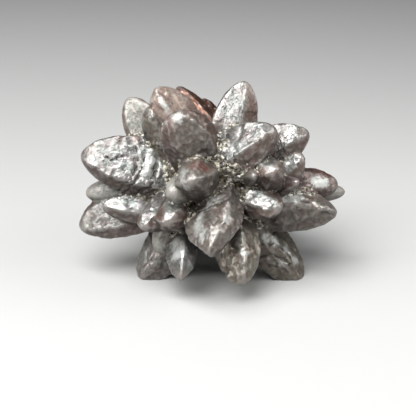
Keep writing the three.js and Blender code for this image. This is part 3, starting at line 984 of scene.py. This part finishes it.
# Layers: how much of each shows where it is whole, and its colour.
# painted highlight on the fine ridges
RIDGE_PAINTED_HIGHLIGHT = (0.4, (0.36, 0.35, 0.335, 1))
# painted shade in the fine hollows
HOLLOW_PAINTED_SHADE = (0.65, (0.05, 0.043, 0.035, 1))
# painted shade in the wrinkles
WRINKLE_PAINTED_SHADE = (0.3, (0.06, 0.052, 0.047, 1))
# painted shade under the cross-ribs and in the grooves
RIB_PAINTED_SHADE = (0.85, (0.055, 0.047, 0.042, 1))
CRUST_GRAINS = (  # from which share of the grains up, and their colour
    (0.0, (0.11, 0.1, 0.083, 1)),
    (0.2, (0.18, 0.168, 0.145, 1)),
    (0.48, (0.36, 0.345, 0.31, 1)),
    (0.72, (0.64, 0.625, 0.58, 1)),
)
CRUST_CLOUD = ((0.6, 0.55, 0.49, 1), (1.08, 1.08, 1.06, 1))  # darkest and lightest factors
# What the shader takes.
METAL_IN_HOLLOWS = 0.5  # how much of the shine is left
METAL_UNDER_RUST = 0.5
METAL_UNDER_PAINTED_HIGHLIGHT = 0.6
GLOSS = (0.5, 0.8)  # specular level of clean and of rusty skin
CRUST_GLOSS = 0.12
CRUST_METAL = (0.05, 0.9)  # of a plain grain and of one that glints
CRUST_ROUGHNESS = (0.75, 0.25)
STONE_IOR = 1.8
STONE_ROUGHNESS = (0.28, 0.43)
HOLLOW_ROUGHNESS = 0.2  # how much rougher the hollows are
DULL_ROUGHNESS = 0.2  # and the skin that is hardly metallic
DULL_SPAN = (0.15, 0.4)


def new_group(name, takes, gives):
    """A node group with these sockets in and out."""
    tree = bpy.data.node_groups.new(name, "ShaderNodeTree")
    for way, sockets in (("INPUT", takes), ("OUTPUT", gives)):
        for socket, kind in sockets.items():
            tree.interface.new_socket(socket, in_out=way, socket_type="NodeSocket" + kind)
    return tree


def crinkle_group():
    """Fine relief of the crystal faces: winding lines, grooves between small plates, dents and wrinkles."""
    takes = {"Place": "Vector", "Grain": "Vector"}
    tree = new_group("crinkle", takes, {"Height": "Float", "Wrinkle": "Float"})
    nodes = Nodes(tree)
    given = tree.nodes.new("NodeGroupInput")
    place, grain = given.outputs["Place"], given.outputs["Grain"]
    sway = nodes.add("TexNoise", {"Vector": grain, "Scale": BEND_SCALE, "Detail": BEND_DETAIL})
    sums = {0: sway.outputs["Color"], 1: BEND, 2: grain}
    bent = nodes.add("VectorMath", sums, operation="MULTIPLY_ADD")
    stretched = nodes.add("Mapping", {"Vector": bent.outputs[0], "Scale": STRETCH}).outputs["Vector"]
    plate = nodes.add("TexVoronoi", {"Vector": stretched, "Scale": 1.0}, feature="DISTANCE_TO_EDGE")
    lines = nodes.times(nodes.noise(stretched, *LINE_NOISE), LINE_HEIGHT)
    grooves = nodes.times(nodes.span(plate.outputs["Distance"], *PLATE_GROOVE_BAND), GROOVE_HEIGHT)
    dents = nodes.times(nodes.noise(place, *DENT_NOISE), DENT_HEIGHT)
    height = nodes.plus(nodes.plus(lines, grooves), dents)
    folds = nodes.number("SUBTRACT", nodes.noise(stretched, *FOLD_NOISE), 0.5)
    wrinkle = nodes.span(nodes.number("ABSOLUTE", folds), *WRINKLE_BAND, 1.0, 0.0)
    wrinkle = nodes.times(wrinkle, nodes.span(nodes.noise(place, *WRINKLE_BREAK), *WRINKLE_BREAK_BAND))
    out = tree.nodes.new("NodeGroupOutput")
    height = nodes.number("SUBTRACT", height, nodes.times(wrinkle, WRINKLE_DEPTH))
    tree.links.new(height, out.inputs["Height"])
    tree.links.new(wrinkle, out.inputs["Wrinkle"])
    return tree


def crust_group():
    """Crust of separate grains: their colours, their height and the few that glint."""
    gives = {"Colour": "Color", "Height": "Float", "Glint": "Float"}
    tree = new_group("crust", {"Place": "Vector"}, gives)
    nodes = Nodes(tree)
    place = tree.nodes.new("NodeGroupInput").outputs["Place"]
    grains = nodes.add("TexVoronoi", {"Vector": place, "Scale": GRAIN_SCALE})
    pick = nodes.add("SeparateColor", {0: grains.outputs["Color"]})
    soil = nodes.add("ValToRGB", {0: pick.outputs[0]})
    fill_ramp(soil.color_ramp, CRUST_GRAINS)
    cloud = nodes.mix(nodes.span(nodes.noise(place, *CRUST_CLOUD_NOISE), *CRUST_CLOUD_BAND), *CRUST_CLOUD)
    out = tree.nodes.new("NodeGroupOutput")
    tree.links.new(nodes.multiply(soil.outputs["Color"], cloud), out.inputs["Colour"])
    tree.links.new(nodes.span(grains.outputs["Distance"], *GRAIN_BAND, 1.0, 0.0), out.inputs["Height"])
    tree.links.new(nodes.span(pick.outputs[1], *GLINT_BAND), out.inputs["Glint"])
    return tree


def fill_ramp(steps, colours):
    """Bands of one colour each, with hard borders."""
    steps.interpolation = "CONSTANT"
    steps.elements.remove(steps.elements[1])
    steps.elements[0].color = colours[0][1]
    for position, colour in colours[1:]:
        steps.elements.new(position).color = colour


def filmed(nodes, place, tint_with_painted_shade):
    """The tint, with its painted shade, under slow and fine changes of the film over it."""
    colour = tint_with_painted_shade
    for scale, detail, roughness, dark, light in FILM_LAYERS:
        cloud = nodes.noise(place, scale, detail, roughness)
        colour = nodes.multiply(colour, nodes.mix(nodes.span(cloud, *CLOUD_BAND), dark, light))
    return colour


def rusted(nodes, place, colour):
    """Brown film in blotches and where iron has stained the skin, and red where it has stained it most.
    Returns the colour and how rusty it is."""
    stain = nodes.mask("stain")
    blotch = nodes.noise(place, *BLOTCH_NOISE)
    stained = nodes.times(stain, nodes.span(blotch, *STAIN_BLOTCH_BAND, *STAIN_STRENGTH))
    blotched = nodes.span(blotch, *BLOTCH_BAND, 0.0, BLOTCH_STRENGTH)
    rusty = nodes.number("MINIMUM", nodes.plus(blotched, stained), 1.0)
    rust = nodes.mix(nodes.span(stain, *RED_BAND), nodes.multiply(colour, BROWN_FILM), RED_IRON)
    return nodes.mix(rusty, colour, rust), rusty


def with_painted_highlights(nodes, place, colour):
    """Painted highlight in uneven pale patches. Returns the colour and how much painted highlight there is.
    """
    painted_highlight = nodes.mask("painted_highlight")
    patch = nodes.span(nodes.ragged(painted_highlight, place, PAINTED_HIGHLIGHT_NOISE, PAINTED_HIGHLIGHT_SHIFTS), *PAINTED_HIGHLIGHT_BAND)
    highlight_colour = nodes.mix(nodes.span(painted_highlight, *THICK_BAND), THIN_PAINTED_HIGHLIGHT, THICK_PAINTED_HIGHLIGHT)
    return nodes.mix(nodes.times(patch, PAINTED_HIGHLIGHT_SHARE), colour, highlight_colour), patch


def rib_line(nodes, place):
    """1 in the broken line under each cross-rib and along each groove, where the skin dips and painted
    shade darkens it.
    """
    ragged = nodes.ragged(nodes.mask("rib"), place, RIB_NOISE, RIB_SHIFTS)
    line = nodes.span(nodes.number("ABSOLUTE", ragged), *RIB_LINE_BAND, 1.0, 0.0)
    return nodes.times(line, nodes.span(nodes.noise(place, *RIB_BREAK_NOISE), *RIB_BREAK_BAND))


def skin_metal(nodes, hollow, rusty, patch):
    """How metallic the skin is: less in hollows, under rust and under the painted highlights."""
    metal = nodes.mask("metal")
    for where, left in ((hollow, METAL_IN_HOLLOWS), (rusty, METAL_UNDER_RUST), (patch, METAL_UNDER_PAINTED_HIGHLIGHT)):
        metal = nodes.times(metal, nodes.span(where, 0, 1, 1, left))
    return metal


def skin_roughness(nodes, place, hollow, metal):
    """How rough the skin is: more in hollows and where it is less metallic."""
    rough = nodes.span(nodes.noise(place, *SATIN_NOISE), *SATIN_BAND, *STONE_ROUGHNESS)
    rough = nodes.plus(rough, nodes.times(hollow, HOLLOW_ROUGHNESS))
    return nodes.plus(rough, nodes.span(metal, *DULL_SPAN, DULL_ROUGHNESS, 0.0))


def stone_finish():
    material = bpy.data.materials.new("iron_oxide_crystal")
    material.use_nodes = True
    nodes = Nodes(material.node_tree)
    shader = material.node_tree.nodes["Principled BSDF"]
    place = nodes.add("TexCoord").outputs["Object"]
    grain = nodes.add("Attribute", attribute_name="grain").outputs["Vector"]
    tint_with_painted_shade = nodes.add("Attribute", attribute_name="tint_with_painted_shade").outputs["Color"]
    hollow = nodes.mask("hollow")
    relief = nodes.add("Group", {"Place": place, "Grain": grain}, group=crinkle_group())
    crinkle, wrinkle = relief.outputs["Height"], relief.outputs["Wrinkle"]
    soil = nodes.add("Group", {"Place": place}, group=crust_group())
    crusted = nodes.ragged(nodes.mask("crust"), place, CRUST_NOISE, CRUST_SHIFTS)
    crusted = nodes.span(crusted, *CRUST_BAND)
    line = rib_line(nodes, place)

    colour, rusty = rusted(nodes, place, filmed(nodes, place, tint_with_painted_shade))
    # painted highlight on the fine ridges
    colour = nodes.covered(colour, nodes.mask("edge"), RIDGE_PAINTED_HIGHLIGHT)
    # painted highlights at the spots, in pale patches
    colour, patch = with_painted_highlights(nodes, place, colour)
    # painted shade in the fine hollows
    colour = nodes.covered(colour, hollow, HOLLOW_PAINTED_SHADE)
    # painted shade in the wrinkles
    colour = nodes.covered(colour, wrinkle, WRINKLE_PAINTED_SHADE)
    # painted shade under the cross-ribs and in the grooves
    colour = nodes.covered(colour, line, RIB_PAINTED_SHADE)
    # painted shade on the crust deep near the core
    crust = nodes.multiply(soil.outputs["Colour"], CRUST_PAINTED_SHADE, nodes.mask("sunk"))
    colour = nodes.mix(crusted, colour, crust)

    metal = skin_metal(nodes, hollow, rusty, patch)
    rough = skin_roughness(nodes, place, hollow, metal)
    gloss = nodes.span(rusty, 0, 1, *GLOSS)
    crinkle = nodes.number("SUBTRACT", crinkle, nodes.times(line, RIB_LINE_DEPTH))
    grains = nodes.number("MULTIPLY_ADD", soil.outputs["Height"], GRAIN_HEIGHT, 1.0)
    height = nodes.choose(crusted, crinkle, grains)
    bump = nodes.add("Bump", {"Strength": 1.0, "Distance": BUMP_DISTANCE, "Height": height})
    glint = soil.outputs["Glint"]
    sockets = {
        "Base Color": colour,
        "Metallic": nodes.choose(crusted, metal, nodes.span(glint, 0, 1, *CRUST_METAL)),
        "Roughness": nodes.choose(crusted, rough, nodes.span(glint, 0, 1, *CRUST_ROUGHNESS)),
        "Specular IOR Level": nodes.choose(crusted, gloss, CRUST_GLOSS),
        "Normal": bump.outputs["Normal"],
    }
    for socket, value in sockets.items():
        material.node_tree.links.new(value, shader.inputs[socket])
    shader.inputs["IOR"].default_value = STONE_IOR
    return material


# ---- scene

FLOOR_COLOUR = (0.4, 0.393, 0.385, 1)
FLOOR_RADIUS = 3  # metres
FLOOR_CORNERS = 96
FLOOR_ROUGHNESS = 0.9
SKY_COLOUR = (0.8, 0.85, 0.9, 1)
SKY_STRENGTH = 0.12
LAMP_COLOUR = (0.98, 1.0, 1.0)
LAMP_TARGET = Vector((0, 0, 16)) * MM
LAMPS = (  # name, place in metres, power in watts, and size in metres
    ("key", (-0.12, -0.18, 0.38), 4.2, 0.4),
    ("side", (0.14, -0.04, 0.12), 0.14, 0.12),
    ("rim", (-0.16, -0.06, 0.06), 0.08, 0.05),
    ("front", (0.04, -0.32, 0.07), 0.13, 0.3),
)
CAMERA_TARGET = Vector((-0.9, 0, 11.6)) * MM
CAMERA_DISTANCE = 208 * MM
CAMERA_TILT = math.radians(20)
CAMERA_LENS = 100
CAMERA_SENSOR = 36
CAMERA_RANGE = (0.01, 20)  # metres


def finished(name, mesh, material):
    mesh.transform(Matrix.Scale(MM, 4))
    mesh.materials.clear()
    mesh.materials.append(material)
    mesh.shade_smooth()
    return added(name, mesh)


def add_floor():
    plate = bmesh.new()
    bmesh.ops.create_circle(plate, cap_ends=True, segments=FLOOR_CORNERS, radius=FLOOR_RADIUS)
    mesh = as_mesh(plate, "floor")
    material = bpy.data.materials.new("pale_floor")
    material.use_nodes = True
    shader = material.node_tree.nodes["Principled BSDF"]
    shader.inputs["Base Color"].default_value = FLOOR_COLOUR
    shader.inputs["Roughness"].default_value = FLOOR_ROUGHNESS
    mesh.materials.append(material)
    floor = added("floor", mesh)


def add_lamp(name, place, power, size):
    light = bpy.data.lights.new(name, "AREA")
    light.energy = power
    light.size = size
    light.color = LAMP_COLOUR
    lamp = added(name, light)
    lamp.location = place
    lamp.rotation_euler = (LAMP_TARGET - Vector(place)).to_track_quat("-Z", "Y").to_euler()


def add_camera():
    lens = bpy.data.cameras.new("camera")
    lens.lens = CAMERA_LENS
    lens.sensor_width = CAMERA_SENSOR
    lens.clip_start, lens.clip_end = CAMERA_RANGE
    camera = added("camera", lens)
    back = Vector((0, -math.cos(CAMERA_TILT), math.sin(CAMERA_TILT)))
    camera.location = CAMERA_TARGET + back * CAMERA_DISTANCE
    camera.rotation_euler = (-back).to_track_quat("-Z", "Y").to_euler()
    bpy.context.scene.camera = camera


def add_world():
    world = bpy.data.worlds.new("studio")
    world.use_nodes = True
    background = world.node_tree.nodes["Background"]
    background.inputs["Color"].default_value = SKY_COLOUR
    background.inputs["Strength"].default_value = SKY_STRENGTH
    bpy.context.scene.world = world


stone = finished("crystal_cluster_skin", build_stone(), stone_finish())
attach(stone, "root")
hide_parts("crystal_cluster")

add_floor()
add_camera()
add_world()
for lamp in LAMPS:
    add_lamp(*lamp)
bpy.context.scene.view_settings.view_transform = "Standard"
bpy.context.scene.view_settings.look = "Medium High Contrast"
